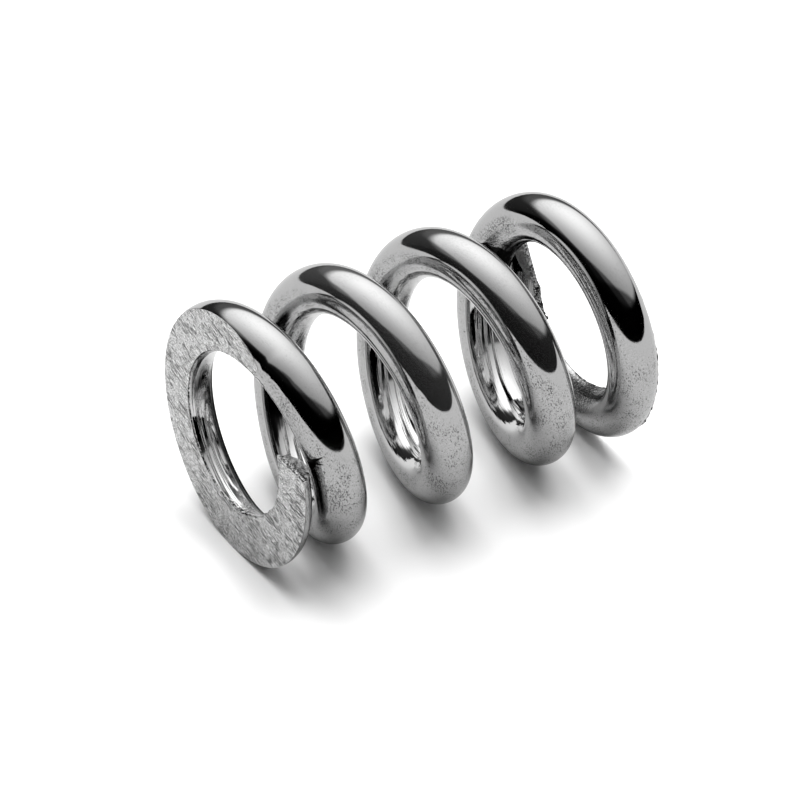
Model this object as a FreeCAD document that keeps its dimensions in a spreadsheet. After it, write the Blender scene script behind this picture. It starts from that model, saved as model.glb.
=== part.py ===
import FreeCAD, Part
import math
import os

# Compression spring with closed and ground ends, right-hand wound.
# +Z is square to the ground end faces, and the origin is the middle of the lower one.
# Lengths are in millimetres and angles in degrees.

# Driving dimensions: alias, value, what it is.
DIMENSIONS = [
    ("wire_diameter", 5.0, "round spring wire"),
    ("coil_mean_diameter", 21.4, "circle that the middle of the wire runs on"),
    ("free_length", 40.2, "from ground face to ground face"),
    ("total_turns", 4.63, "turns from wire end to wire end"),
    ("top_tip_angle", 201.0, "direction of the upper wire end, anticlockwise from +X"),
    ("top_tip_thickness", 1.5, "wire left under the grinding at the upper end"),
    ("bottom_tip_thickness", 0.7, "wire left under the grinding at the lower end"),
    ("top_coil_gap", 0.12, "upper wire end to the coil under it"),
    ("bottom_coil_gap", 1.1, "lower wire end to the coil over it"),
    ("top_closed_turns", 0.48, "upper stretch wound at the closed pitch"),
    ("top_blend_turns", 0.42, "upper stretch where the pitch opens up"),
    ("bottom_closed_turns", 0.8, "lower stretch wound at the closed pitch"),
    ("bottom_blend_turns", 0.2, "lower stretch where the pitch opens up"),
    ("lean_angle", 3.5, "how far the coil's axis is out of square with its ends"),
    ("lean_direction", 51.0, "direction that the coil leans to, anticlockwise from +X"),
    ("shear_skew_angle", 15.0, "sheared wire end, turned away from square"),
]

# The centre line meets the coil's formula at steps of about this angle, in two arcs a step.
ANGLE_STEP = 30.0

NODE = "spring_coil"


def fill_sheet(document):
    """Write the driving dimensions into a spreadsheet, one row each."""
    sheet = document.addObject("Spreadsheet::Sheet", "Dimensions")
    for row, (alias, value, meaning) in enumerate(DIMENSIONS, start=1):
        sheet.set("A%d" % row, alias)
        sheet.set("B%d" % row, str(value))
        sheet.set("C%d" % row, meaning)
        sheet.setAlias("B%d" % row, alias)
    document.recompute()
    return sheet


class EndCoils:
    """The pitch near one end of the wire, counted in turns from that end.

    It is constant over the closed stretch, opens up smoothly over the blend next
    to it, and is the active coils' pitch from there on.
    """

    def __init__(self, first_rise, closed, blend, active_pitch):
        closed_share = closed + blend / 2
        self.closed = closed
        self.blend = blend
        self.active_pitch = active_pitch
        self.closed_pitch = (first_rise - active_pitch * (1 - closed_share)) / closed_share

    def blended(self, turn):
        """Share of the blend that lies between the wire end and this turn."""
        return min(max(turn - self.closed, 0.0), self.blend) / self.blend

    def pitch(self, turn):
        """Rise for each turn there."""
        share = self.blended(turn)
        return self.closed_pitch + (self.active_pitch - self.closed_pitch) * (3 * share**2 - 2 * share**3)

    def rise(self, turn):
        """Rise from the wire end over this many turns."""
        share = self.blended(turn)
        opening = (self.active_pitch - self.closed_pitch) * (share**3 - share**4 / 2)
        in_closed = self.closed_pitch * min(turn, self.closed)
        in_blend = self.blend * (self.closed_pitch * share + opening)
        return in_closed + in_blend + self.active_pitch * max(turn - self.closed - self.blend, 0.0)


class CoilLaw:
    """Where the middle of the wire runs, in turns from its lower end up.

    The first and the last turn each rise by a wire diameter and the gap at that
    end, and the active coils share the rest of the height.
    """

    def __init__(self, sheet):
        self.radius = sheet.coil_mean_diameter / 2
        self.turns = sheet.total_turns
        self.lean = math.radians(sheet.lean_angle)
        self.lean_direction = math.radians(sheet.lean_direction)
        self.top_angle = math.radians(sheet.top_tip_angle)
        self.bottom_angle = self.top_angle - 2 * math.pi * self.turns
        half_wire = sheet.wire_diameter / 2
        self.start = self.along_axis(sheet.bottom_tip_thickness - half_wire, self.bottom_angle)
        self.finish = self.along_axis(sheet.free_length - sheet.top_tip_thickness + half_wire, self.top_angle)
        low_rise = sheet.wire_diameter + sheet.bottom_coil_gap
        top_rise = sheet.wire_diameter + sheet.top_coil_gap
        pitch = (self.finish - self.start - low_rise - top_rise) / (self.turns - 2)
        self.low_end = EndCoils(low_rise, sheet.bottom_closed_turns, sheet.bottom_blend_turns, pitch)
        self.top_end = EndCoils(top_rise, sheet.top_closed_turns, sheet.top_blend_turns, pitch)

    def along_axis(self, height, angle):
        """Distance along the leaning axis of a point at this height and direction."""
        tilt = self.radius * math.sin(self.lean) * math.cos(angle - self.lean_direction)
        return (height + tilt) / math.cos(self.lean)

    def height(self, turn):
        """Height along the coil's own axis after this many turns."""
        if turn < self.turns / 2:
            return self.start + self.low_end.rise(turn)
        return self.finish - self.top_end.rise(self.turns - turn)

    def slope(self, turn):
        """Rise for each turn there."""
        if turn < self.turns / 2:
            return self.low_end.pitch(turn)
        return self.top_end.pitch(self.turns - turn)

    def along(self, turn):
        """Direction of the centre line, about an upright axis."""
        angle = self.bottom_angle + 2 * math.pi * turn
        round_the_coil = 2 * math.pi * self.radius
        x = -math.sin(angle) * round_the_coil
        y = math.cos(angle) * round_the_coil
        return FreeCAD.Vector(x, y, self.slope(turn)).normalize()

    def point(self, turn):
        """Point of the centre line, about an upright axis."""
        angle = self.bottom_angle + 2 * math.pi * turn
        x = self.radius * math.cos(angle)
        y = self.radius * math.sin(angle)
        return FreeCAD.Vector(x, y, self.height(turn))


def lean_rotation(sheet):
    """Rotation that leans the upright coil over to one side."""
    direction = math.radians(sheet.lean_direction)
    hinge = FreeCAD.Vector(-math.sin(direction), math.cos(direction), 0)
    return FreeCAD.Rotation(hinge, sheet.lean_angle)


def tangent_arc(start, along, end):
    """Arc from start, leaving it in the given direction, to end."""
    chord = end - start
    across = FreeCAD.Vector(chord).normalize()
    lean = along - across * along.dot(across)
    half_angle = math.atan2(lean.Length, along.dot(across))
    rise = chord.Length / 2 * math.tan(half_angle / 2)
    middle = (start + end) / 2 + lean.normalize() * rise
    return Part.Arc(start, middle, end).toShape()


def tangent_arc_pair(start, along_start, end, along_end):
    """Two arcs that join smoothly and leave and reach the ends in the given directions."""
    chord = end - start
    both = along_start + along_end
    turn = 2 * (1 - along_start.dot(along_end))
    reach = (math.sqrt(chord.dot(both) ** 2 + turn * chord.dot(chord)) - chord.dot(both)) / turn
    meeting = (start + end + (along_start - along_end) * reach) / 2
    across = (meeting - start).normalize()
    along_meeting = across * (2 * along_start.dot(across)) - along_start
    return [tangent_arc(start, along_start, meeting), tangent_arc(meeting, along_meeting, end)]


def make_centre_line(document, sheet, law):
    """Middle of the wire, from end to end, as arcs that follow the coil's formula."""
    steps = math.ceil(law.turns * 360 / ANGLE_STEP)
    turns = [law.turns * step / steps for step in range(steps + 1)]
    arcs = []
    for low, high in zip(turns, turns[1:]):
        arcs += tangent_arc_pair(law.point(low), law.along(low), law.point(high), law.along(high))
    line = document.addObject("Part::Feature", "centre_line")
    line.Label = "centre line of the wire"
    line.Shape = Part.Wire(arcs)
    line.Placement = FreeCAD.Placement(FreeCAD.Vector(0, 0, 0), lean_rotation(sheet))
    return line


def wire_end(line, outward):
    """Middle of a wire end, its direction out of the wire, and the way out from the coil."""
    edge = line.Shape.Edges[0]
    at = edge.FirstParameter
    if outward > 0:
        edge = line.Shape.Edges[-1]
        at = edge.LastParameter
    return edge.valueAt(at), edge.tangentAt(at) * outward, edge.normalAt(at) * -1


def make_wire_section(document, line):
    """Round section of the wire, square to the start of the centre line."""
    middle, out_of_wire, out_of_coil = wire_end(line, -1)
    square = FreeCAD.Rotation(out_of_coil, FreeCAD.Vector(0, 0, 0), out_of_wire * -1, "ZXY")
    section = document.addObject("Part::Circle", "wire_section")
    section.Label = "section of the wire"
    section.Placement = FreeCAD.Placement(middle, square)
    section.setExpression("Radius", "Dimensions.wire_diameter / 2")
    return section


def make_wound_wire(document, line, section):
    """The wire as it is wound, before its ends are sheared and ground."""
    wire = document.addObject("Part::Sweep", "wound_wire")
    wire.Label = "wound wire"
    wire.Sections = [section]
    wire.Spine = (line, ["Edge%d" % (place + 1) for place in range(len(line.Shape.Edges))])
    wire.Solid = True
    wire.Frenet = True
    return wire


def make_shear_wedge(document, sheet, line, name, outward):
    """Wedge that the shear takes off one end of the wire.

    One stroke parts a spring from the next one, so both end faces are skewed
    the same way: the upper end is longer on the inside of the coil and the
    lower end is longer on the outside.
    """
    middle, out_of_wire, out_of_coil = wire_end(line, outward)
    to_longer_side = out_of_coil * -outward
    corner = middle - to_longer_side * (sheet.wire_diameter / 2)
    turned = FreeCAD.Rotation(out_of_wire * -1, to_longer_side, FreeCAD.Vector(0, 0, 0), "XYZ")
    wedge = document.addObject("Part::Wedge", name)
    wedge.Label = name.replace("_", " ")
    wedge.Placement = FreeCAD.Placement(corner, turned)
    slope = "tan(Dimensions.shear_skew_angle)"
    past_the_wire = "Dimensions.wire_diameter * 0.006"
    for side in ("Xmin", "X2min", "Ymin"):
        wedge.setExpression(side, "-" + past_the_wire)
    wedge.setExpression("X2max", "-" + past_the_wire + " * " + slope)
    wedge.setExpression("Xmax", "Dimensions.wire_diameter * 1.006 * " + slope)
    wedge.setExpression("Ymax", "Dimensions.wire_diameter * 1.006")
    for side in ("Zmin", "Z2min"):
        wedge.setExpression(side, "-Dimensions.wire_diameter * 0.506")
    for side in ("Zmax", "Z2max"):
        wedge.setExpression(side, "Dimensions.wire_diameter * 0.506")
    return wedge


def shear(document, name, wire, wedge):
    """The wire with one end sheared off."""
    sheared = document.addObject("Part::Cut", name)
    sheared.Label = name.replace("_", " ")
    sheared.Base = wire
    sheared.Tool = wedge
    return sheared


def make_grinding_space(document):
    """Space between the two grinding wheels, as long as the finished spring."""
    space = document.addObject("Part::Cylinder", "grinding_space")
    space.Label = "space between the grinding wheels"
    space.setExpression("Radius", "Dimensions.coil_mean_diameter + Dimensions.wire_diameter")
    space.setExpression("Height", "Dimensions.free_length")
    return space


def grind(document, wire, space):
    """The finished spring: what the grinding wheels leave of the wound wire."""
    spring = document.addObject("Part::MultiCommon", "ground_wire")
    spring.Label = NODE
    spring.Shapes = [wire, space]
    return spring


def check_objects(document):
    """Stop if any object of the document is broken."""
    for item in document.Objects:
        broken = "Invalid" in item.State or "Error" in item.State
        shape = getattr(item, "Shape", None)
        if shape is not None:
            broken = broken or shape.isNull() or not shape.isValid()
        if broken:
            raise RuntimeError("%s is not sound" % item.Label)


def main():
    os.makedirs("parts", exist_ok=True)
    document = FreeCAD.newDocument("compression_spring")
    sheet = fill_sheet(document)
    law = CoilLaw(sheet)
    line = make_centre_line(document, sheet, law)
    section = make_wire_section(document, line)
    wire = make_wound_wire(document, line, section)
    lower_wedge = make_shear_wedge(document, sheet, line, "lower_shear_wedge", -1)
    upper_wedge = make_shear_wedge(document, sheet, line, "upper_shear_wedge", 1)
    sheared_below = shear(document, "wire_sheared_below", wire, lower_wedge)
    sheared = shear(document, "wire_sheared_at_both_ends", sheared_below, upper_wedge)
    space = make_grinding_space(document)
    spring = grind(document, sheared, space)
    document.recompute()
    check_objects(document)
    spring.Shape.exportStep("parts/%s.step" % NODE)


main()
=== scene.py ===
import math

import bpy
import numpy as np
from bpy.props import FloatProperty, FloatVectorProperty, IntProperty, PointerProperty
from mathutils import Matrix, Vector


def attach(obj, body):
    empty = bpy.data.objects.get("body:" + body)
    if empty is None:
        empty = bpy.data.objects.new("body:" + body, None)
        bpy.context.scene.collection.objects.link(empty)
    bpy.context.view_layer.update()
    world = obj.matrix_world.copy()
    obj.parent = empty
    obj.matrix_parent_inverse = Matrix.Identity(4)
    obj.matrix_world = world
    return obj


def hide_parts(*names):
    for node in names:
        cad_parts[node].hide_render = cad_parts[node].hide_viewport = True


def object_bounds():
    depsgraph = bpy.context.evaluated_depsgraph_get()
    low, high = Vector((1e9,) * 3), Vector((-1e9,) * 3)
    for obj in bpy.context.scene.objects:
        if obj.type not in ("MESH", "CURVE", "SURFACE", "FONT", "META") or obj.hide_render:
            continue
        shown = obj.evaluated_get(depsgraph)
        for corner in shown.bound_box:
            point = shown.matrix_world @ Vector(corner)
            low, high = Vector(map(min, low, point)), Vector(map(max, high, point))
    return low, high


bl_info = {
    "name": "Compression spring",
    "version": (1, 0, 0),
    "blender": (4, 5, 0),
    "location": "3D View > Sidebar > Spring",
    "description": "Winds, grinds and finishes a compression spring and sets up its studio",
    "category": "Object",
}

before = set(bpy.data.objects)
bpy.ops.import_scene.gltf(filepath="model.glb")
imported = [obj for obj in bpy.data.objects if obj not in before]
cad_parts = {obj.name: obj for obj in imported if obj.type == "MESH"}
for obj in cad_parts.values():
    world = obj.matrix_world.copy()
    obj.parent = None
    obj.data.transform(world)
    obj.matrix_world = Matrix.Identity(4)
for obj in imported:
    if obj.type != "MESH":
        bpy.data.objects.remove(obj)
CAD_LOW, CAD_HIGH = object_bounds()

NODE = "spring_coil"
MILLIMETRE = 0.001
FULL_TURN = 2 * math.pi


# Properties that a user may change

def length(default, description):
    """A length in metres."""
    return FloatProperty(default=default, description=description, unit="LENGTH", precision=5)


def angle(degrees, description=""):
    """An angle, given in degrees and kept in radians."""
    return FloatProperty(default=math.radians(degrees), description=description, subtype="ANGLE")


def number(default, description=""):
    """A plain number."""
    return FloatProperty(default=default, description=description, precision=4)


def count(default, description):
    """A whole number."""
    return IntProperty(default=default, description=description, min=1)


def grey(value, description):
    """A colour, grey to start with."""
    colour = (value, value, value)
    return FloatVectorProperty(default=colour, description=description, subtype="COLOR", min=0.0, max=1.0)


class SpringSizes(bpy.types.PropertyGroup):
    """Sizes of the wound, sheared and ground wire."""

    wire_diameter: length(0.005, "Round spring wire")
    coil_mean_diameter: length(0.0214, "Circle that the wire's middle runs on")
    free_length: length(CAD_HIGH[2] - CAD_LOW[2], "From ground face to ground face")
    total_turns: number(4.63, "From wire end to wire end")
    top_tip_angle: angle(201.0, "Direction of the upper wire end, from +X")
    top_tip_thickness: length(0.0015, "Upper wire end, left by the grinding")
    bottom_tip_thickness: length(0.0007, "Lower wire end, left by the grinding")
    top_coil_gap: length(0.00012, "Upper wire end to the coil under it")
    bottom_coil_gap: length(0.0011, "Lower wire end to the coil over it")
    top_closed_turns: number(0.48, "At the closed pitch")
    top_blend_turns: number(0.42, "Where the pitch opens up")
    bottom_closed_turns: number(0.8, "At the closed pitch")
    bottom_blend_turns: number(0.2, "Where the pitch opens up")
    lean_angle: angle(3.5, "Coil's axis, out of square with its ends")
    lean_direction: angle(51.0, "Where the coil leans to, from +X")
    upper_shear_skew: angle(23.0, "Sheared end, turned away from square")
    lower_cut_turns: number(0.016, "Cut off the lower end of the wound wire")
    lower_shear: length(0.0078, "Upright plane of the lower shear, to the coil's axis")
    lower_tail_turns: number(0.30, "Stretch over which the wire winds in")
    lower_wind_in: length(0.0004, "How far it has wound in at turn 0")
    lower_lift: length(0.0010, "Extra thickness left at turn 0")


class SpringMesh(bpy.types.PropertyGroup):
    """How finely the wire is divided, and how rough its edges are."""

    rows: count(880, "Sections along the wire")
    columns: count(108, "Points round each section")
    face_columns: count(28, "Strips across a ground face")
    end_rings: count(10, "Rings that close a sheared end")
    ragged_end: length(0.00004, "Wander of the sheared rim along the wire")
    fracture: length(0.00009, "Depth of a sheared end's torn grain")
    waviness: length(0.000006, "Drawn wire, off a true cylinder")
    edge_wear: length(0.000015, "Wander of the ground edges")


class SteelLook(bpy.types.PropertyGroup):
    """Colours and surface detail of the steel."""

    wire_colour: grey(0.5, "Bright drawn wire")
    ground_colour: grey(0.70, "Face left by the grinding wheel")
    sheared_colour: grey(0.5, "Torn wire ends")
    pit_colour: grey(0.10, "Pits in the steel")
    # Painted shade: colour of the matt film laid where shade falls, along the ground edges and over
    # stretches of the coils.
    painted_shade_colour: grey(0.005, "Dirt in the corners")
    # Painted reflection: the upper wire end's dark tip, mirrored in the coil under it.
    tip_reflection_colour: grey(0.01, "Scuff under the upper wire end")
    # The haze is a pale matt film that lifts the mirrored black to grey on the stretches that carry it.
    haze_colour: grey(0.9, "Dust on the hazy patches")
    inside_gain: number(1.4, "How much brighter the coil's inside is")
    haze: number(0.03, "Share of light that the dust scatters")
    pitting: number(0.95, "How dark the pits are, from 0 to 1")
    wire_roughness: number(0.07)
    inside_roughness: number(0.05)
    torn_roughness: number(0.25)
    sheared_roughness: number(0.3)
    ground_roughness: number(0.33)
    wire_relief: length(0.00002, "Height of the wire's lines and grain")
    ground_relief: length(0.000018, "Height of the ground faces' scratches")
    sheared_relief: length(0.00009, "Height of the sheared ends' grain")
    wheel_radius: length(0.095, "Middle of the grinding wheel, to the spring's")
    wheel_direction: angle(-103.0, "Where the wheel's middle is, from +X")


class StudioSetup(bpy.types.PropertyGroup):
    """Camera, table and lights, as the spring was photographed lying on its side. A light's azimuth runs
    from straight behind the spring to the right, and its elevation is over the table."""

    view_azimuth: angle(48.46, "Where the camera looks, 0 along +Y, towards +X")
    view_elevation: angle(27.58, "How far the camera looks down")
    view_roll: angle(109.48, "Turn about the line of sight")
    view_distance: length(0.36827, "Camera to the aim point")
    aim: FloatVectorProperty(
        default=(0.00007, 0.00326, 0.02198), description="Point in the middle of the picture", unit="LENGTH")
    lens: number(169.4, "Focal length in millimetres on a 36 mm sensor")
    table_size: length(1.2, "Half the side of the white table")
    light_azimuth: angle(0.0, "Of the light's bright middle")
    light_elevation: angle(48.0, "Of the light's bright middle")
    light_spread: angle(56.5, "Reach of the bright middle")
    light_middle: number(1.68, "Radiance that the bright middle adds")
    light_rest: number(0.216, "Radiance of the tent outside it")
    table_light: number(2.9, "Lamp that only the table takes up")
    table_light_spread: angle(60.0, "Angle that this lamp fills")
    table_light_azimuth: angle(20.0)
    table_light_elevation: angle(76.0)
    table_seen: grey(0.95, "White table, as the camera sees it")
    table_mirrored: grey(0.55, "White table, as the steel mirrors it")


# The coil's path

# Turns at the lower end over which the lift of the wire's tip fades out
LIFT_TURNS = 0.4


def rotation_about(axis, turn):
    """Rotation matrix about a unit axis, by Rodrigues' formula: the identity, plus the sine times
    the axis' cross matrix, plus one minus the cosine times that matrix squared."""
    x, y, z = axis
    cross = np.array([[0.0, -z, y], [z, 0.0, -x], [-y, x, 0.0]])
    return np.eye(3) + math.sin(turn) * cross + (1 - math.cos(turn)) * cross @ cross


def lean_matrix(sizes):
    """Rotation from the upright axis to the leaning one of the coil."""
    hinge = (-math.sin(sizes.lean_direction), math.cos(sizes.lean_direction), 0.0)
    return rotation_about(hinge, sizes.lean_angle)


def smooth_step(share):
    """0 to 1 with level ends: three times the square less twice the cube."""
    share = np.clip(share, 0.0, 1.0)
    return share * share * (3 - 2 * share)


def unit(vectors):
    """The same directions with length 1."""
    return vectors / np.linalg.norm(vectors, axis=-1, keepdims=True)


class EndCoils:
    """The pitch near one end of the wire, in turns from that end: constant over the closed stretch,
    opening up as a smooth step over the blend, then the active coils' pitch."""

    def __init__(self, first_rise, closed, blend, active_pitch):
        closed_share = closed + blend / 2
        self.closed = closed
        self.blend = blend
        self.active_pitch = active_pitch
        self.closed_pitch = (first_rise - active_pitch * (1 - closed_share)) / closed_share
        self.gain = active_pitch - self.closed_pitch

    def blended(self, turn):
        """Share of the blend between the wire end and this turn."""
        return np.clip((turn - self.closed) / self.blend, 0.0, 1.0)

    def pitch(self, turn):
        """Rise for each turn there."""
        return self.closed_pitch + self.gain * smooth_step(self.blended(turn))

    def rise(self, turn):
        """Rise from the wire end: the integral of the pitch, whose smooth step integrates to the
        cube less half the fourth power."""
        share = self.blended(turn)
        in_closed = self.closed_pitch * np.minimum(turn, self.closed)
        in_blend = self.blend * (self.closed_pitch * share + self.gain * (share**3 - share**4 / 2))
        return in_closed + in_blend + self.active_pitch * np.maximum(turn - self.closed - self.blend, 0.0)


class CoilPath:
    """Where the middle of the wire runs, in turns from its lower end up."""

    def __init__(self, sizes):
        self.sizes = sizes
        self.radius = sizes.coil_mean_diameter / 2
        self.wire_radius = sizes.wire_diameter / 2
        self.turns = sizes.total_turns
        self.bottom_angle = sizes.top_tip_angle - FULL_TURN * self.turns
        low_height = sizes.bottom_tip_thickness - self.wire_radius
        top_height = sizes.free_length - sizes.top_tip_thickness + self.wire_radius
        self.start = self.along_axis(low_height, self.bottom_angle)
        self.finish = self.along_axis(top_height, sizes.top_tip_angle)
        low_rise = sizes.wire_diameter + sizes.bottom_coil_gap
        top_rise = sizes.wire_diameter + sizes.top_coil_gap
        pitch = (self.finish - self.start - low_rise - top_rise) / (self.turns - 2)
        self.low_end = EndCoils(low_rise, sizes.bottom_closed_turns, sizes.bottom_blend_turns, pitch)
        self.top_end = EndCoils(top_rise, sizes.top_closed_turns, sizes.top_blend_turns, pitch)

    def along_axis(self, height, direction):
        """Distance along the leaning axis of a point of the path at this height and direction."""
        lean = self.sizes.lean_angle
        tilt = self.radius * math.sin(lean) * math.cos(direction - self.sizes.lean_direction)
        return (height + tilt) / math.cos(lean)

    def height(self, turn):
        """Height along the coil's own axis."""
        lift = self.sizes.lower_lift * (1 - smooth_step(turn / LIFT_TURNS))
        low = self.start + self.low_end.rise(turn) + lift
        top = self.finish - self.top_end.rise(self.turns - turn)
        return np.where(turn < self.turns / 2, low, top)

    def pitch(self, turn):
        """Rise for each turn there."""
        from_top = self.turns - turn
        return np.where(turn < self.turns / 2, self.low_end.pitch(turn), self.top_end.pitch(from_top))

    def sections(self, turn):
        """Middle of the wire and its directions out of the coil, up and along: a helix about the upright
        axis, turned over to the leaning one. Over the lower tail its radius shrinks with the square of
        what is left to turn 0. Out is the radial direction less its share along; up is out cross along."""
        direction = self.bottom_angle + FULL_TURN * turn
        cosine = np.cos(direction)
        sine = np.sin(direction)
        level = np.zeros_like(cosine)
        left = np.maximum(1 - turn / self.sizes.lower_tail_turns, 0.0)
        radius = self.radius - self.sizes.lower_wind_in * left**2
        widening = 2 * self.sizes.lower_wind_in * left / self.sizes.lower_tail_turns
        middle = np.stack([radius * cosine, radius * sine, self.height(turn)], axis=-1)
        radial = np.stack([cosine, sine, level], axis=-1)
        tangent = np.stack([-sine, cosine, level], axis=-1)
        along = tangent * (FULL_TURN * radius)[..., None] + radial * widening[..., None]
        along[..., 2] = self.pitch(turn)
        along = unit(along)
        out = unit(radial - along * (radial * along).sum(axis=-1, keepdims=True))
        up = np.cross(out, along)
        leaning = lean_matrix(self.sizes)
        return [vectors @ leaning.T for vectors in (middle, out, up, along)]


# Noise that repeats from run to run

# Strength of each finer octave to the one before, and how closely waves follow in a given size
OCTAVE_SHARE = 0.55
WAVE_CLOSENESS = 2.2


def waves(seed, size, coordinates, count=24, octaves=2):
    """Smooth noise from -1 to 1: the mean of plane waves of about the given size, in random directions,
    with random phases."""
    places = np.stack(coordinates, axis=-1) if isinstance(coordinates, tuple) else coordinates
    random = np.random.default_rng(seed)
    total = np.zeros(places.shape[:-1])
    strength = 0.0
    for octave in range(octaves):
        spread = random.normal(size=(count, places.shape[-1]))
        phases = random.uniform(0, FULL_TURN, count)
        scale = 2.0**octave / size
        share = OCTAVE_SHARE**octave
        for direction, phase in zip(spread, phases):
            total += share * np.sin(places @ (direction * scale * WAVE_CLOSENESS) + phase)
        strength += share * math.sqrt(count)
    return total / strength


# The ground ends

TOP = 1
BOTTOM = -1

# Turns before a ground stretch over which the columns gather at its edges, and how strongly
GATHER_TURNS = 0.035
FACE_PULL = 0.75
ROUND_PULL = 0.6


class GroundEnd:
    """What the grinding wheel takes off one end, seen in each section of the wire.

    The plane cuts the round section where the cosine of the angle from its highest point is the
    plane's height over the middle, divided by the wire's radius.
    """

    def __init__(self, path, side):
        self.path = path
        self.side = side
        self.level = path.sizes.free_length if side == TOP else 0.0
        turns = np.linspace(0.0, path.turns, 20000)
        near = turns > path.turns / 2 if side == TOP else turns < path.turns / 2
        cut = turns[near & (self.reach(turns) < 1.0)]
        self.fade_out = cut.min() if side == TOP else cut.max()

    def reach(self, turn):
        """Cosine of the half angle that the plane cuts off."""
        middle, out, up, _ = self.path.sections(turn)
        slant = np.hypot(out[..., 2], up[..., 2])
        return self.side * (self.level - middle[..., 2]) / (self.path.wire_radius * slant)

    def past_fade_out(self, turn):
        """Turns into the ground stretch, negative where the plane doesn't cut the section."""
        return (turn - self.fade_out) * self.side

    def columns(self, turn, place, face_half):
        """Angle of each point from the middle of the face, its share across the face, whether it is on the
        face, and half the face's angle there.

        Of the columns' even places, those within face_half go on the face, from edge to edge, and the
        others round the rest of the section. A sine draws both to the edges, and away from the ground
        stretch all go back to even places.
        """
        past = self.past_fade_out(turn)
        near = smooth_step(past / GATHER_TURNS + 1.0)
        ground = past > 0.0
        ground_half = np.arccos(np.clip(self.reach(turn), -1.0, 1.0))
        half = np.where(ground, ground_half, face_half * (1.0 - near))
        across = np.clip(place / face_half, -1.0, 1.0)
        share = across + FACE_PULL * near * (np.sin(across * math.pi / 2) - across)
        rest = np.clip((np.abs(place) - face_half) / (math.pi - face_half), 0.0, 1.0)
        rest = rest - ROUND_PULL * near * np.sin(rest * math.pi) / math.pi
        on_round = np.sign(place) * (half + (math.pi - half) * rest)
        on_face = np.abs(place) <= face_half + 1e-9
        return np.where(on_face, share * half, on_round), share, on_face & ground, half


# Burrs, and stretches of torn steel, painted shade and haze

# Burrs over the ground edges: the end, the side of the wire (1 outside, -1 inside), the first and last
# turn, how far the fringe stands out (mean and grain), and how wide it is on the round side.
BURRS = (
    (BOTTOM, -1, 0.08, 0.23, 0.00026, 0.00016, 0.00070),
    (BOTTOM, -1, 0.30, 0.75, 0.00000, 0.00003, 0.00025),
    (BOTTOM, 1, 0.46, 0.68, 0.00002, 0.00010, 0.00020),
    (TOP, -1, 4.02, 4.50, 0.00001, 0.00005, 0.00022),
    (TOP, -1, 4.30, 4.50, 0.00002, 0.00012, 0.00060),
)
BURR_FADE_TURNS = 0.02
BURR_TOOTH = 0.00042
BURR_TEETH = 0.25  # added to the noise, so that teeth fill more than half of the fringe
BURR_HEIGHT = 1.6
BURR_TORN = 2.5  # the steel is torn all over from a share of one over this
BURR_ON_FACE = 0.35  # width on the face, to that on the round side

# Stretches of the wire with torn steel, painted shade or haze: first and last turn, how softly they end,
# their direction round the wire in degrees (0 outside, 90 up, 180 inside), their half width, how dark
# the painted shade is, how torn the steel is, and how hazy (a pale film that lifts the mirrored black to
# grey).
SHADE_TEAR_AND_HAZE_STRETCHES = (
    (-0.20, 0.24, 0.04, 135, 75, 0.50, 0.00, 0.0),
    (0.84, 1.12, 0.05, 170, 45, 0.92, 0.00, 0.0),
    (0.28, 0.47, 0.06, 165, 60, 0.75, 0.40, 0.0),
    (4.00, 4.50, 0.05, 238, 36, 1.00, 0.00, 0.0),
    (4.30, 4.48, 0.05, 180, 70, 0.00, 0.40, 0.0),
    (4.46, 4.70, 0.05, 262, 42, 0.90, 0.00, 0.0),
    (3.46, 3.68, 0.05, 82, 22, 0.40, 0.00, 0.0),
    (1.40, 2.05, 0.06, 20, 100, 0.00, 0.00, 0.5),
    (2.40, 3.05, 0.06, 20, 100, 0.00, 0.00, 1.0),
)
STRETCH_SOFTNESS = 0.5  # radians round the wire

# The wire is specked where its normal points less than this up from the table, softly and in patches
SPECKED_BELOW = 0.30
SPECKED_SOFTNESS = 0.25
SPECK_PATCH = 0.004
SPECK_PATCHINESS = 0.08


def stretch_share(turn, first, last, soft):
    """1 within a stretch of the wire, falling off smoothly inside both of its ends."""
    return smooth_step((turn - first) / soft) * smooth_step((last - turn) / soft)


def burr_shares(surface):
    """How far each point is pushed out by the burrs, and how much of a burr it is, from 0 to 1: the product
    of the burr's stretch, its side, and a slope that falls to nothing over its width."""
    push = np.zeros_like(surface.turn)
    part = np.zeros_like(surface.turn)
    for index, (end, side, first, last, mean, grain, width) in enumerate(BURRS):
        here = (surface.upper_half == (end == TOP)) & (surface.towards_out * side > 0)
        reach = np.where(surface.on_face, width * BURR_ON_FACE, width)
        slope = np.clip(1 - surface.beside_edge / reach, 0.0, 1.0)
        share = stretch_share(surface.turn, first, last, BURR_FADE_TURNS) * slope * here
        places = (surface.arc, surface.beside_edge * 0.8)
        noise = waves(60 + index, BURR_TOOTH, places, count=40)
        teeth = np.clip(noise + BURR_TEETH, 0.0, None)
        push += share * (mean + grain * teeth * BURR_HEIGHT)
        part = np.maximum(part, smooth_step(share * BURR_TORN))
    return push, part


def wire_specks(out, normal, table_up):
    """How dense the specks are, from 0 to 1: a smooth step of how far the surface faces the table, with
    soft patches."""
    patches = waves(81, SPECK_PATCH, normal * 0.01 + out * 0.01, count=20)
    facing = SPECKED_BELOW - normal @ table_up + SPECK_PATCHINESS * patches
    return smooth_step(facing / SPECKED_SOFTNESS + 0.5)


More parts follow.
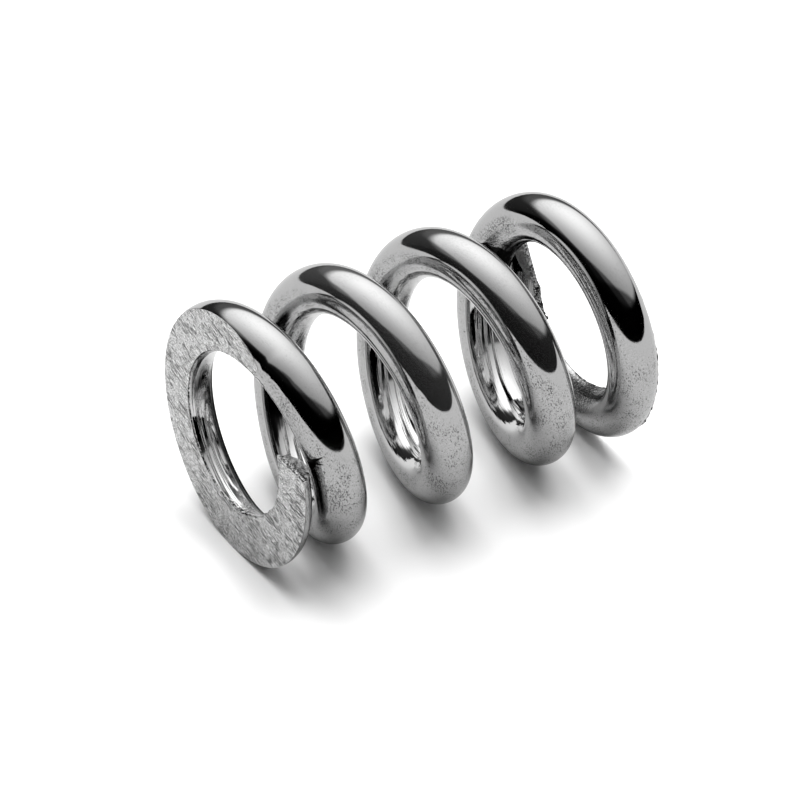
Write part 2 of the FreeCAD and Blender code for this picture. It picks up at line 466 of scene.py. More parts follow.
def wire_tears_shade_and_haze(surface, burr, shaded):
    """How torn the steel is, how much painted shade it carries and how hazy it is, from 0 to 1: each stretch
    is the product of smooth steps along the wire and round it, burrs are torn all over, and edges carry
    painted shade."""
    direction = np.arctan2(surface.towards_up, surface.towards_out)
    wear = np.stack([burr, shaded, np.zeros_like(burr)], axis=-1)
    for first, last, soft, middle, half_width, dark, torn, haze in SHADE_TEAR_AND_HAZE_STRETCHES:
        away = np.abs((direction - math.radians(middle) + math.pi) % FULL_TURN - math.pi)
        round_it = smooth_step((math.radians(half_width) - away) / STRETCH_SOFTNESS)
        share = stretch_share(surface.turn, first, last, soft) * round_it
        wear = np.maximum(wear, share[..., None] * np.array([torn, dark, haze]))
    return wear


# The wire's surface

# What the rows' closeness gains on the 1 of the active coils near the wire's ends: how much, the turns
# from the end at which that fades, and how softly
CLOSER_ROWS = ((0.8, 0.7, 0.15), (2, 0.2, 0.1))

# Lengths of wire over which the columns stop short for the shear
UPPER_SHEARED = 0.006
LOWER_SHEARED = 0.016

# Size of the noise on the sheared rims, the drawn wire and the worn edges, and of the circle that the
# wire's noise is laid round
RIM_GRAIN = 0.0009
WAVE_GRAIN = 0.006
EDGE_GRAIN = 0.0007
WAVE_CIRCLE = 0.004

# How wide the worn edge and its dark line are, and how dark the line is inside and outside. The line is
# painted shade, where the burr and crevice at a ground edge lie in shade.
WORN_WIDTH = 0.00012
SHADED_WIDTH = 0.00013
SHADED_INSIDE = 0.95
SHADED_OUTSIDE = 0.55


def wire_rows(path, shape):
    """Turns of the rows: evenly spread over their closeness, by interpolating in its running sum."""
    first = path.sizes.lower_cut_turns
    turns = np.linspace(first, path.turns, 40000)
    from_end = np.minimum(turns - first, path.turns - turns)
    closeness = 1
    for share, fades_at, softness in CLOSER_ROWS:
        closeness = closeness + share * (1 - smooth_step((from_end - fades_at) / softness))
    reached = np.cumsum(closeness)
    return np.interp(np.linspace(reached[0], reached[-1], shape.rows), reached, turns)


class WireSurface:
    """The finished wire on a grid of rows along it and columns round it.

    A point is the wire's middle, plus the wire's radius times the cosine of its angle from the ground
    side towards that side, and times the sine across. On a ground stretch, the columns of the face lie
    on the plane instead.
    """

    def __init__(self, path, shape, table_up):
        self.path = path
        self.shape = shape
        self.top_end = GroundEnd(path, TOP)
        self.low_end = GroundEnd(path, BOTTOM)
        even = np.broadcast_to(wire_rows(path, shape)[:, None], (shape.rows, shape.columns))
        self.upper_half = even > path.turns / 2
        self.turn = self.sheared(even)
        self.arc = self.turn * FULL_TURN * path.radius
        self.lay_points()
        self.wear_edges_and_paint_shade()
        self.specked = wire_specks(self.out, unit(self.offset), table_up)
        self.in_wire = np.stack([self.arc, self.towards_out, self.towards_up], axis=-1)

    def by_end(self, upper, lower):
        """One value for the upper half of the wire and one for the lower."""
        return np.where(self.upper_half, upper, lower)

    def columns(self, turn):
        """What GroundEnd gives of the columns, with all angles from the section's highest point."""
        even = np.arange(self.shape.columns) * FULL_TURN / self.shape.columns
        face_half = self.shape.face_columns / 2 * FULL_TURN / self.shape.columns
        halves = []
        for end, middle_of_face in ((self.top_end, 0.0), (self.low_end, math.pi)):
            place = (even - math.pi / 2 - middle_of_face + math.pi) % FULL_TURN - math.pi
            turned, *rest = end.columns(turn, place, face_half)
            halves.append([turned + middle_of_face] + rest)
        return [self.by_end(upper, lower) for upper, lower in zip(*halves)]

    def sheared(self, turn):
        """Turns of the points once both ends are sheared: each column stops short, growing over the last
        stretch. The upper end's skew is even. The lower end follows an upright plane, which a circle
        about the axis meets at the angle whose cosine is the plane's distance over its radius."""
        path = self.path
        sizes = path.sizes
        turned, share, on_face, half = self.columns(turn)
        _, out, up, _ = path.sections(turn)
        steep = np.arctan2(up[..., 2], out[..., 2])
        side = self.by_end(1.0, -1.0)
        on_plane = side * (np.cos(half) * np.cos(steep) - share * np.sin(half) * np.sin(steep))
        outwards = np.where(on_face, on_plane, np.cos(steep + turned)) * path.wire_radius
        from_axis = path.radius + outwards
        outermost = path.radius + path.wire_radius
        upper_short = math.tan(sizes.upper_shear_skew) * (path.wire_radius + outwards)
        lower_short = np.arccos(sizes.lower_shear / outermost) - np.arccos(sizes.lower_shear / from_axis)
        short = self.by_end(upper_short, lower_short * from_axis)
        stretch = self.by_end(UPPER_SHEARED, LOWER_SHEARED) / (FULL_TURN * path.radius)
        from_end = self.by_end(path.turns - turn, turn - sizes.lower_cut_turns)
        pull = np.clip(1 - from_end / stretch, 0.0, 1.0)
        grain = waves(5, RIM_GRAIN, (outwards, turned * path.wire_radius), octaves=3)
        ragged = self.shape.ragged_end * (1 + grain)
        return turn - side * pull * (short + ragged) / (FULL_TURN * from_axis)

    def lay_points(self):
        """Places of the points, on the round wire and on the ground faces."""
        path = self.path
        turned, share, self.on_face, half = self.columns(self.turn)
        middle, self.out, self.up, self.along = path.sections(self.turn)
        steep = np.arctan2(self.up[..., 2], self.out[..., 2]) + self.by_end(0.0, math.pi)
        off_steep = turned - self.by_end(0.0, math.pi)
        round_it = (self.arc, np.cos(off_steep) * WAVE_CIRCLE, np.sin(off_steep) * WAVE_CIRCLE)
        radius = path.wire_radius + self.shape.waviness * (waves(11, WAVE_GRAIN, round_it) - 1.0)
        towards = np.where(self.on_face, np.cos(half), np.cos(off_steep)) * radius
        aside = np.where(self.on_face, share * np.sin(half), np.sin(off_steep)) * radius
        self.towards_out = towards * np.cos(steep) - aside * np.sin(steep)
        self.towards_up = towards * np.sin(steep) + aside * np.cos(steep)
        self.offset = self.out * self.towards_out[..., None] + self.up * self.towards_up[..., None]
        self.points = middle + self.offset
        level = self.by_end(path.sizes.free_length, 0.0)
        self.points[..., 2] = np.where(self.on_face, level, self.points[..., 2])
        on_round = np.where(half > 0, np.maximum((np.abs(off_steep) - half) * radius, 0.0), 1.0)
        on_flat = (1 - np.abs(share)) * np.sin(half) * radius
        self.beside_edge = np.where(self.on_face, on_flat, on_round)

    def wear_edges_and_paint_shade(self):
        """Burrs and worn edges, pushed out of the edge level with the face, the painted shade along the
        ground edges, and the tears, painted shade and haze of the steel.
        """
        push, burr = burr_shares(self)
        worn = self.shape.edge_wear * waves(71, EDGE_GRAIN, (self.arc, self.towards_out * 0.2), octaves=3)
        push = push + worn * np.clip(1 - self.beside_edge / WORN_WIDTH, 0.0, 1.0)
        flat_out = unit(self.out * np.array([1.0, 1.0, 0.0]))
        self.points = self.points + flat_out * (push * np.sign(self.towards_out))[..., None]
        past = self.by_end(self.top_end.past_fade_out(self.turn), self.low_end.past_fade_out(self.turn))
        # Painted shade: a dark line along each ground edge, where the burr and crevice lie in shade.
        shaded = np.where(past > 0.0, np.clip(1.2 - self.beside_edge / SHADED_WIDTH, 0.0, 1.0), 0.0)
        shaded = shaded * np.where(self.towards_out < 0, SHADED_INSIDE, SHADED_OUTSIDE)
        shaded = shaded * (~self.on_face | (self.beside_edge < 1e-7))
        self.wear = wire_tears_shade_and_haze(self, burr, shaded)


# Which surface a polygon belongs to, as the index of its material
DRAWN = 0
GROUND = 1
SHEARED = 2

# Grain of the sheared ends, and how much of its depth the rings take up
FRACTURE_GRAIN = 0.0006
FRACTURE_SHARE = 0.5


def end_rings(rim, along, side, shape, seed):
    """Rings that close a sheared end, and its middle: the rim shrunk in even steps, with torn grain pushed
    into the wire by noise that is nothing at the rim."""
    middle = rim.mean(axis=0)
    inward = unit(-side * along.mean(axis=0))
    shares = (np.arange(1, shape.end_rings) / shape.end_rings)[:, None, None]
    rings = rim[None] + (middle - rim)[None] * shares
    grain = waves(seed, FRACTURE_GRAIN, rings, octaves=3) + 1.0
    depth = shape.fracture * grain * smooth_step(shares[..., 0] * 4)
    rings = rings + inward * depth[..., None] * FRACTURE_SHARE
    return rings, middle + inward * shape.fracture * FRACTURE_SHARE


def tube_faces(rows, columns):
    """Quads between the rows of a tube's points, and a fan at each end round one of two more points."""
    row = np.arange(rows - 1)[:, None]
    column = np.arange(columns)
    after = (column + 1) % columns
    low = row * columns
    quads = np.stack([low + column, low + after, low + columns + after, low + columns + column], axis=-1)
    last = (rows - 1) * columns
    low_fan = np.stack([np.full(columns, rows * columns), after, column], axis=-1)
    top_fan = np.stack([np.full(columns, rows * columns + 1), last + column, last + after], axis=-1)
    return quads.reshape(-1, 4).tolist() + low_fan.tolist() + top_fan.tolist()


def wire_mesh(name, surface, shape):
    """One closed mesh: the grid of the wire, the rings of both ends, and a point in each end's middle."""
    grid = surface.points
    rows, columns = grid.shape[:2]
    low_rings, low_middle = end_rings(grid[0], surface.along[0], BOTTOM, shape, 21)
    top_rings, top_middle = end_rings(grid[-1], surface.along[-1], TOP, shape, 22)
    low_rim = len(low_rings)
    top_rim = low_rim + rows - 1
    stacked = np.concatenate([low_rings[::-1], grid, top_rings])
    stacked = np.clip(stacked, CAD_LOW, CAD_HIGH)
    points = np.concatenate([stacked.reshape(-1, 3), low_middle[None], top_middle[None]])
    mesh = bpy.data.meshes.new(name)
    mesh.from_pydata(points.tolist(), [], tube_faces(len(stacked), columns))

    on_face = np.zeros((len(stacked), columns), dtype=bool)
    on_face[low_rim:top_rim + 1] = surface.on_face
    flat = on_face[:-1] & on_face[1:]
    kind = np.where(flat & np.roll(flat, -1, axis=1), GROUND, DRAWN)
    kind[:low_rim] = SHEARED
    kind[top_rim:] = SHEARED
    kinds = np.concatenate([kind.reshape(-1), np.full(2 * columns, SHEARED)])
    mesh.polygons.foreach_set("material_index", kinds.astype(np.int32))
    mesh.shade_smooth()

    # What the drawn wire's material reads: the place along the wire, outwards and upwards from its
    # middle, how torn it is, how much painted shade and haze it carries, and how specked
    for layer in ("in_wire", "wear", "specked"):
        given = getattr(surface, layer)
        parts = given.shape[2:]
        values = np.zeros((len(points),) + parts, dtype=np.float32)
        values[low_rim * columns:(top_rim + 1) * columns] = given.reshape((-1,) + parts)
        held, slot = ("FLOAT_VECTOR", "vector") if parts else ("FLOAT", "value")
        mesh.attributes.new(layer, held, "POINT").data.foreach_set(slot, values.ravel())

    # The rim of each sheared end is a hard edge: both of its points are in the same row.
    mesh.validate(clean_customdata=False)
    mesh.update()
    ends = np.zeros(len(mesh.edges) * 2, dtype=np.int32)
    mesh.edges.foreach_get("vertices", ends)
    row = ends.reshape(-1, 2) // columns
    sharp = (row[:, 0] == row[:, 1]) & np.isin(row[:, 0], (low_rim, top_rim))
    mesh.attributes.new("sharp_edge", "BOOLEAN", "EDGE").data.foreach_set("value", sharp)
    return mesh


# Node helpers

class Nodes:
    """Short calls for building a shader's node tree. A value is an output socket or a plain one."""

    def __init__(self, tree):
        self.tree = tree
        tree.nodes.clear()

    def add(self, kind, given=(), **settings):
        """Outputs of a new node with these settings and inputs, which are given in order or by name. A
        plain colour gets full alpha."""
        node = self.tree.nodes.new(kind)
        for name, value in settings.items():
            setattr(node, name, value)
        for place, value in given.items() if isinstance(given, dict) else enumerate(given):
            socket = node.inputs[place]
            if isinstance(value, bpy.types.NodeSocket):
                self.tree.links.new(value, socket)
            else:
                socket.default_value = (*value, 1.0) if socket.type == "RGBA" else value
        return node.outputs

    def math(self, operation, *values):
        """Result of a math node."""
        return self.add("ShaderNodeMath", values, operation=operation)[0]

    def plus(self, first, second):
        return self.math("ADD", first, second)

    def minus(self, first, second):
        return self.math("SUBTRACT", first, second)

    def times(self, first, second):
        return self.math("MULTIPLY", first, second)

    def vector(self, operation, *values):
        """Outputs of a vector math node: the vector, then the value."""
        return self.add("ShaderNodeVectorMath", values, operation=operation)

    def dot(self, vector, other):
        """Dot product of two vectors."""
        return self.vector("DOT_PRODUCT", vector, other)["Value"]

    def scaled(self, colour, share):
        """A plain colour times a value."""
        given = {"Vector": colour, "Scale": share}
        return self.add("ShaderNodeVectorMath", given, operation="SCALE")["Vector"]

    def parts(self, vector):
        """The three parts of a vector."""
        return self.add("ShaderNodeSeparateXYZ", (vector,))

    def ramp(self, value, low, high, to_low=0.0, to_high=1.0):
        """Map a value's range smoothly onto another, held at its ends."""
        given = (value, low, high, to_low, to_high)
        return self.add("ShaderNodeMapRange", given, interpolation_type="SMOOTHSTEP")[0]

    def noise(self, vector, pattern):
        """Value of a noise pattern, from 0 to 1."""
        scale, along, detail, roughness = pattern
        if along != 1.0:
            given = {"Vector": vector, "Scale": (along, 1.0, 1.0)}
            vector = self.add("ShaderNodeMapping", given)["Vector"]
        given = {"Vector": vector, "Scale": scale, "Detail": detail, "Roughness": roughness}
        return self.add("ShaderNodeTexNoise", given)["Fac"]

    def mix(self, kind, share, first, second):
        """Blend of two colours, where kind is RGBA, or of two numbers, where it is FLOAT."""
        given = {"Factor": share, "A": first, "B": second}
        return self.add("ShaderNodeMix", given, data_type=kind)["Result"]

    def bump(self, height, distance):
        """Normal of a height map."""
        return self.add("ShaderNodeBump", {"Height": height, "Distance": distance})["Normal"]

    def attribute(self, name, output="Vector"):
        """What the mesh stores at the point."""
        return self.add("ShaderNodeAttribute", attribute_name=name)[output]

    def position(self):
        """Place of the point, in metres."""
        return self.add("ShaderNodeTexCoord")["Object"]

    def film(self, share, under, colour):
        """A surface with a share of a matt film over it."""
        matt = self.add("ShaderNodeBsdfDiffuse", {"Color": colour})[0]
        return self.add("ShaderNodeMixShader", (share, under, matt))[0]

    def finish(self, surface, kind="ShaderNodeOutputMaterial"):
        """Join the surface to the tree's output."""
        self.add(kind, {"Surface": surface})


def new_material(name):
    """A material with an empty tree, and its helper."""
    material = bpy.data.materials.new(name)
    material.use_nodes = True
    return material, Nodes(material.node_tree)


def metal_output(nodes, colour, roughness, normal, films=()):
    """A metallic shader, joined to the output. Each film over it is a share and a colour."""
    given = {"Metallic": 1.0, "Base Color": colour, "Roughness": roughness, "Normal": normal}
    surface = nodes.add("ShaderNodeBsdfPrincipled", given)["BSDF"]
    for share, shade in films:
        surface = nodes.film(share, surface, shade)
    nodes.finish(surface)


# Materials

# Noise patterns: cells to the metre, the same along the first axis as a share of that, finer octaves,
# and the strength of each octave to the one before
DIE_LINES = (3600.0, 0.02, 2.0, 0.50)
WIRE_GRAIN = (7000.0, 1.0, 2.0, 0.60)
SPECKLE = (8600.0, 0.6, 2.0, 0.65)
SPOTS = (3400.0, 1.0, 1.0, 0.50)
PATCHES = (450.0, 1.0, 3.0, 0.50)
REGIONS = (120.0, 1.0, 1.0, 0.50)
TEARS = (4300.0, 1.0, 2.0, 0.70)
SCRATCHES = (15000.0, 0.10, 0.0, 0.50)
GOUGES = (9000.0, 0.05, 0.0, 0.50)
CLUSTERS = (700.0, 0.6, 2.0, 0.50)
GROUND_GRAIN = (11500.0, 1.0, 1.0, 0.60)
GROUND_PITS = (7000.0, 0.5, 2.0, 0.50)
BROKEN_GRAIN = (4600.0, 1.0, 3.0, 0.65)

# Between these lie most values of a noise pattern.
MOST = (0.3, 0.7)

# A share of 0 and of 1, as the ends of a ramp that eases it onto other values
SHARE = (0.0, 1.0)

# Places outwards of the wire's middle between which its surface turns to that of the coil's inside
TO_INSIDE = (-0.0006, -0.0021)

# Depths under the ground face between which the slid end turns to torn grain, and the border's wander
TO_TORN = (0.0011, 0.0006)
TORN_BORDER = 0.0006

# A painted reflection of the upper wire end's dark tip, on the coil under it: where it starts, the surface's
# normal and where its rays end, in millimetres. Its blot fades between two distances, and its rays narrow
# from one half width to another.
TIP_REFLECTION_START = (-9.35, -1.60, 38.42)
TIP_REFLECTION_NORMAL = (-0.48, 0.02, 0.88)
TIP_REFLECTION_RAYS = ((-10.48, -2.58, 37.67), (-10.64, -1.72, 37.66), (-10.33, -1.12, 37.94), (-8.32, -2.81, 38.79))
TIP_REFLECTION_BLOT = (0.00045, 0.00028)
TIP_REFLECTION_WIDTHS = (0.00024, 0.00006)
TIP_REFLECTION_EDGE = 0.00005


def tip_reflection_share(nodes, position):
    """How much of the painted tip reflection there is: in each ray, a wedge that narrows to its end. The
    distance from the ray is the root of the squared one from the start less the squared ways along it and
    off the surface."""
    start = np.array(TIP_REFLECTION_START) * MILLIMETRE
    normal = np.array(TIP_REFLECTION_NORMAL)
    lifted = nodes.minus(nodes.dot(position, normal), float(start @ normal))
    away = nodes.vector("DISTANCE", position, start)["Value"]
    squared = nodes.minus(nodes.times(away, away), nodes.times(lifted, lifted))
    share = nodes.ramp(away, *TIP_REFLECTION_BLOT)
    for end in TIP_REFLECTION_RAYS:
        ray = np.array(end) * MILLIMETRE - start
        ray = ray - normal * (ray @ normal)
        reach = float(np.linalg.norm(ray))
        along = nodes.minus(nodes.dot(position, ray / reach), float(start @ ray) / reach)
        aside = nodes.math("MAXIMUM", nodes.minus(squared, nodes.times(along, along)), 0.0)
        beyond = nodes.minus(nodes.math("SQRT", aside), nodes.ramp(along, 0.0, reach, *TIP_REFLECTION_WIDTHS))
        wedge = nodes.ramp(beyond, TIP_REFLECTION_EDGE, -TIP_REFLECTION_EDGE)
        wedge = nodes.times(wedge, nodes.ramp(along, 0.0, 2 * TIP_REFLECTION_EDGE))
        wedge = nodes.times(wedge, nodes.ramp(along, reach, reach * 0.85))
        share = nodes.math("MAXIMUM", share, wedge)
    return share


def pit_share(nodes, position, in_wire, patches, specked):
    """How much of a pit there is: speckle past a threshold that falls in patches and regions, and spots,
    most of them where the wire is specked."""
    regions = nodes.ramp(nodes.noise(position, REGIONS), 0.35, 0.65, 0.07, -0.01)
    threshold = nodes.plus(nodes.ramp(patches, *MOST, 0.59, 0.45), regions)
    pits = nodes.ramp(nodes.minus(nodes.noise(in_wire, SPECKLE), threshold), 0.0, 0.12)
    pits = nodes.math("MAXIMUM", pits, nodes.ramp(nodes.noise(position, SPOTS), 0.70, 0.76))
    return nodes.times(pits, nodes.ramp(specked, *SHARE, 0.10, 1.0))


def drawn_wire_material(look):
    """Bright drawn wire: a fine grain, pits in clusters, lines from the drawing die that are deepest
    on the inside of the coil, torn burrs, painted shade as a near-black film, hazy patches, and a painted
    reflection of the upper wire end's dark tip."""
    material, nodes = new_material("drawn_wire")
    position = nodes.position()
    in_wire = nodes.attribute("in_wire")
    torn, painted_shade, haze = nodes.parts(nodes.attribute("wear"))
    specked = nodes.attribute("specked", "Fac")
    inside = nodes.ramp(nodes.parts(in_wire)["Y"], *TO_INSIDE)
    grain = nodes.noise(position, WIRE_GRAIN)
    patches = nodes.noise(position, PATCHES)
    tears = nodes.noise(position, TEARS)

    lines = nodes.minus(nodes.noise(in_wire, DIE_LINES), 0.5)
    height = nodes.times(lines, nodes.ramp(inside, *SHARE, 0.06, 1.5))
    height = nodes.plus(height, nodes.times(grain, nodes.ramp(specked, *SHARE, 0.05, 0.14)))
    height = nodes.plus(height, nodes.times(nodes.times(tears, torn), 6.0))

    bright = nodes.ramp(inside, *SHARE, 1.0, look.inside_gain)
    bright = nodes.times(bright, nodes.mix("FLOAT", specked, 1.0, nodes.ramp(grain, *MOST, 0.86, 1.12)))
    pits = nodes.times(pit_share(nodes, position, in_wire, patches, specked), look.pitting)
    colour = nodes.mix("RGBA", pits, nodes.scaled(look.wire_colour, bright), look.pit_colour)
    torn_steel = nodes.scaled(look.wire_colour, nodes.ramp(tears, 0.45, 0.58, 0.03, 1.95))
    colour = nodes.mix("RGBA", torn, colour, torn_steel)
    # Painted reflection of the upper wire end's dark tip, on the coil under it.
    colour = nodes.mix("RGBA", tip_reflection_share(nodes, position), colour, look.tip_reflection_colour)

    roughness = nodes.ramp(patches, *MOST, look.wire_roughness - 0.02, look.wire_roughness + 0.02)
    roughness = nodes.mix("FLOAT", inside, roughness, look.inside_roughness)
    roughness = nodes.mix("FLOAT", torn, roughness, look.torn_roughness)
    # Painted shade: a near-black matt film along the ground edges and over the shaded stretches, thinner in
    # the torn grains.
    painted_shade_film = nodes.times(painted_shade, nodes.mix("FLOAT", torn, 1.0, nodes.ramp(tears, 0.50, 0.62, 1.0, 0.3)))
    films = ((nodes.times(haze, look.haze), look.haze_colour), (painted_shade_film, look.painted_shade_colour))
    metal_output(nodes, colour, roughness, nodes.bump(height, look.wire_relief), films)
    return material


def wheel_marks(nodes, position, look):
    """Coordinates along and across the arcs that a big grinding wheel leaves: the angle about the wheel's
    middle times its radius, and the distance from that middle."""
    direction = look.wheel_direction
    wheel = (look.wheel_radius * math.cos(direction), look.wheel_radius * math.sin(direction), 0.0)
    x, y, z = nodes.parts(nodes.vector("SUBTRACT", position, wheel)["Vector"])
    turn = nodes.math("ARCTAN2", y, x)
    away = nodes.math("SQRT", nodes.plus(nodes.times(x, x), nodes.times(y, y)))
    along = nodes.times(turn, look.wheel_radius)
    return nodes.add("ShaderNodeCombineXYZ", (along, away, z))["Vector"]


def ground_face_material(look):
    """Ground face: clusters of short scratches that all follow the wheel, on a dull grey, with long
    gouges and pits. The grey's tone follows the relief, lighter on the high scratches and grain and darker
    in the low: partly their own tone, partly painted light and shade."""
    material, nodes = new_material("ground_face")
    position = nodes.position()
    marks = wheel_marks(nodes, position, look)
    scratches = nodes.minus(nodes.noise(marks, SCRATCHES), 0.5)
    grain = nodes.noise(position, GROUND_GRAIN)
    clusters = nodes.ramp(nodes.noise(marks, CLUSTERS), 0.42, 0.58)
    depth = nodes.ramp(clusters, *SHARE, 0.2, 1.3)
    gouges = nodes.ramp(nodes.noise(marks, GOUGES), 0.56, 0.63)
    gouges = nodes.times(gouges, nodes.ramp(clusters, *SHARE, 0.12, 1.0))
    pits = nodes.math("MAXIMUM", nodes.ramp(nodes.noise(marks, GROUND_PITS), 0.60, 0.68), gouges)

    height = nodes.plus(nodes.times(scratches, depth), nodes.times(grain, 0.4))
    normal = nodes.bump(nodes.minus(height, pits), look.ground_relief)
    # Painted light and shade, partly the marks' own tone: the colour is lighter where scratches and grain
    # stand high.
    scratch_light_and_shade = nodes.times(scratches, nodes.times(depth, 5.0))
    scratch_light_and_shade = nodes.plus(scratch_light_and_shade, nodes.times(nodes.minus(grain, 0.5), 4.0))
    ground = nodes.scaled(look.ground_colour, nodes.ramp(scratch_light_and_shade, -0.8, 0.8, 0.22, 1.75))
    colour = nodes.mix("RGBA", nodes.times(pits, look.pitting), ground, look.pit_colour)
    metal_output(nodes, colour, look.ground_roughness, normal)
    return material


def sheared_end_material(look):
    """Sheared end: dull where the blade slid, and torn, bright and glittering by the ground face, where
    the wire broke off."""
    material, nodes = new_material("sheared_end")
    position = nodes.position()
    height = nodes.parts(position)["Z"]
    under_face = nodes.math("MINIMUM", height, nodes.minus(CAD_HIGH[2], height))
    grain = nodes.noise(position, BROKEN_GRAIN)
    torn = nodes.ramp(nodes.plus(under_face, nodes.times(grain, TORN_BORDER)), *TO_TORN)
    slid = nodes.scaled(look.sheared_colour, nodes.ramp(grain, 0.38, 0.62, 0.95, 1.30))
    broken = nodes.scaled(look.sheared_colour, nodes.ramp(grain, 0.43, 0.55, 0.12, 2.00))
    normal = nodes.bump(nodes.times(grain, nodes.ramp(torn, *SHARE, 0.12, 1.0)), look.sheared_relief)
    metal_output(nodes, nodes.mix("RGBA", torn, slid, broken), look.sheared_roughness, normal)
    return material


# Studio

# Dark curtains round the foot of the tent: azimuth and elevation of the upper edge in degrees, the
# edge's softness, and the share of the light that the curtain lets through.
CURTAINS = (
    (170.0, 36.0, 0.06, 0.20),
    (160.0, 48.0, 0.05, 0.22),
    (139.0, 29.0, 0.05, 0.00),
    (-173.0, 53.0, 0.05, 0.25),
    (-150.0, 44.0, 0.06, 0.10),
    (-98.0, 33.0, 0.07, 0.30),
    (-45.0, 26.0, 0.09, 0.10),
)


def towards(axes, azimuth, elevation):
    """A direction, by its azimuth from the second axis to the first and its elevation to the third."""
    level = math.cos(elevation)
    return axes @ np.array([math.sin(azimuth) * level, math.cos(azimuth) * level, math.sin(elevation)])


def camera_axes(setup):
    """Right, up and back of the camera: aimed by azimuth and elevation, then rolled."""
    azimuth = setup.view_azimuth
    forward = towards(np.eye(3), azimuth, -setup.view_elevation)
    level_right = np.array([math.cos(azimuth), -math.sin(azimuth), 0.0])
    right = rotation_about(forward, setup.view_roll) @ level_right
    return right, np.cross(right, forward), -forward


def studio_axes(sizes, setup):
    """Right, away and up of the table that the spring lies on, as columns, in the spring's frame.

    Up is square to the coil's leaning axis and to the camera's own right, because the camera stands
    level over the table. Away is up cross right.
    """
    right, camera_up, _ = camera_axes(setup)
    coil_axis = lean_matrix(sizes) @ np.array([0.0, 0.0, 1.0])
    up = np.cross(coil_axis, right)
    up *= np.sign(up @ camera_up) / np.linalg.norm(up)
    return np.stack([right, np.cross(up, right), up], axis=1)


def add_object(name, data):
    """A new object in the scene."""
    thing = bpy.data.objects.new(name, data)
    bpy.context.scene.collection.objects.link(thing)
    return thing


def add_camera(setup):
    """Camera that looks at the aim point."""
    axes = camera_axes(setup)
    place = np.array(setup.aim) + axes[2] * setup.view_distance
    data = bpy.data.cameras.new("photo_camera")
    data.lens = setup.lens
    data.sensor_width = 36.0
    data.clip_start = 0.01
    camera = add_object("photo_camera", data)
    camera.matrix_world = Matrix.Translation(place) @ Matrix(axes).transposed().to_4x4()
    bpy.context.scene.camera = camera


def table_material(setup):
    """White table, less bright in reflections. Its back is clear to the camera, so that the spring shows
    from under it too."""
    material, nodes = new_material("table")
    seen = nodes.add("ShaderNodeLightPath")["Is Camera Ray"]
    back = nodes.add("ShaderNodeNewGeometry")["Backfacing"]
    clear = nodes.add("ShaderNodeBsdfTransparent")[0]
    solid = nodes.minus(1.0, nodes.times(back, seen))
    nodes.finish(nodes.film(solid, clear, nodes.mix("RGBA", seen, setup.table_mirrored, setup.table_seen)))
    return material


def add_table(axes, sizes, setup):
    """The table, a square card under the coil that lies on it."""
    low = -(sizes.coil_mean_diameter + sizes.wire_diameter) / 2
    size = setup.table_size
    places = ((-size, -size, low), (size, -size, low), (size, size, low), (-size, size, low))
    mesh = bpy.data.meshes.new("table")
    mesh.from_pydata([tuple(axes @ np.array(place)) for place in places], [], [(0, 1, 2, 3)])
    mesh.materials.append(table_material(setup))
    add_object("table", mesh)


def add_light(axes, setup):
    """A tent of light with black curtains, as the world, and white to the camera.

    The tent is brightest round the middle of the light and falls off as a bell curve of the angle.
    A curtain's edge is a slanting plane through the spring, and the light ends smoothly at it.
    """
    world = bpy.data.worlds.new("light_tent")
    world.use_nodes = True
    bpy.context.scene.world = world
    nodes = Nodes(world.node_tree)
    direction = nodes.add("ShaderNodeTexCoord")["Generated"]
    cosine = nodes.dot(direction, towards(axes, setup.light_azimuth, setup.light_elevation))
    share = nodes.math("DIVIDE", nodes.math("ARCCOSINE", cosine), setup.light_spread)
    bell = nodes.math("POWER", math.e, nodes.times(nodes.times(share, share), -1.0))
    tent = nodes.plus(nodes.times(bell, setup.light_middle), setup.light_rest)
    for azimuth, edge, softness, leaves in CURTAINS:
        over_edge = towards(axes, math.radians(azimuth + 180.0), math.radians(90.0 - edge))
        share = nodes.ramp(nodes.dot(direction, over_edge), -softness, softness, leaves, 1.0)
        tent = nodes.times(tent, share)
    seen = nodes.add("ShaderNodeLightPath")["Is Camera Ray"]
    given = {"Color": (1.0, 1.0, 1.0), "Strength": nodes.mix("FLOAT", seen, tent, 1.0)}
    nodes.finish(nodes.add("ShaderNodeBackground", given)[0], "ShaderNodeOutputWorld")


def add_table_light(axes, setup):
    """A broad lamp over the white table, that metal doesn't mirror."""
    toward = towards(axes, setup.table_light_azimuth, setup.table_light_elevation)
    data = bpy.data.lights.new("table_light", "SUN")
    data.energy = setup.table_light
    data.angle = setup.table_light_spread
    lamp = add_object("table_light", data)
    lamp.matrix_world = Vector(toward).to_track_quat("Z", "Y").to_matrix().to_4x4()
    lamp.visible_glossy = False


# Operators

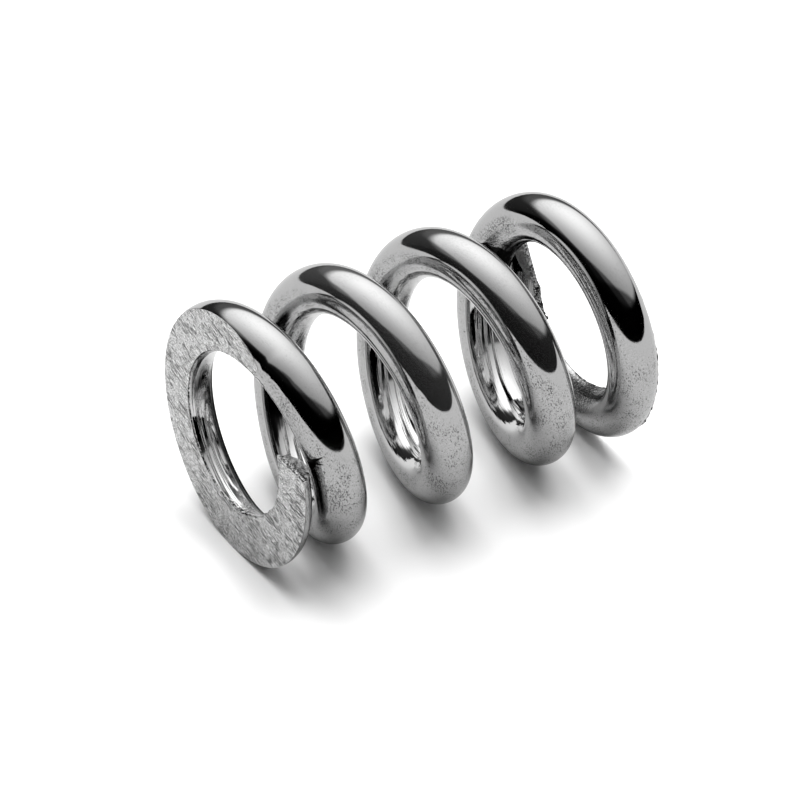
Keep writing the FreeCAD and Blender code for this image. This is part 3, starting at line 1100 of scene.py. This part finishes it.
class SPRING_OT_wind_wire(bpy.types.Operator):
    """Wind, shear and grind the wire, and give it its finishes"""

    bl_idname = "spring.wind_wire"
    bl_label = "Wind the spring"

    def execute(self, context):
        scene = context.scene
        look = scene.spring_look
        table_up = studio_axes(scene.spring_sizes, scene.spring_studio)[:, 2]
        surface = WireSurface(CoilPath(scene.spring_sizes), scene.spring_mesh, table_up)
        mesh = wire_mesh("coil", surface, scene.spring_mesh)
        for material in (drawn_wire_material(look), ground_face_material(look), sheared_end_material(look)):
            mesh.materials.append(material)
        coil = add_object("coil", mesh)
        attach(coil, "root")
        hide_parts(NODE)
        return {"FINISHED"}


class SPRING_OT_set_stage(bpy.types.Operator):
    """Set up the camera, the white table and the light tent"""

    bl_idname = "spring.set_stage"
    bl_label = "Set the stage"

    def execute(self, context):
        sizes = context.scene.spring_sizes
        setup = context.scene.spring_studio
        axes = studio_axes(sizes, setup)
        add_camera(setup)
        add_table(axes, sizes, setup)
        add_light(axes, setup)
        add_table_light(axes, setup)
        context.scene.view_settings.view_transform = "Standard"
        return {"FINISHED"}


class SPRING_PT_panel(bpy.types.Panel):
    """Sizes, finishes and studio of the spring"""

    bl_label = "Compression spring"
    bl_space_type = "VIEW_3D"
    bl_region_type = "UI"
    bl_category = "Spring"

    def draw(self, context):
        for operator in (SPRING_OT_wind_wire, SPRING_OT_set_stage):
            self.layout.operator(operator.bl_idname)
        for group_name, kind in GROUPS.items():
            box = self.layout.box()
            for name in kind.__annotations__:
                label = name.replace("_", " ").capitalize()
                box.prop(getattr(context.scene, group_name), name, text=label)


GROUPS = {
    "spring_sizes": SpringSizes,
    "spring_mesh": SpringMesh,
    "spring_look": SteelLook,
    "spring_studio": StudioSetup,
}
CLASSES = tuple(GROUPS.values()) + (SPRING_OT_wind_wire, SPRING_OT_set_stage, SPRING_PT_panel)


def register():
    for kind in CLASSES:
        bpy.utils.register_class(kind)
    for name, group in GROUPS.items():
        setattr(bpy.types.Scene, name, PointerProperty(type=group))


def unregister():
    for name in GROUPS:
        delattr(bpy.types.Scene, name)
    for kind in reversed(CLASSES):
        bpy.utils.unregister_class(kind)


def main():
    register()
    bpy.ops.spring.set_stage()
    bpy.ops.spring.wind_wire()


if __name__ == "__main__":
    main()
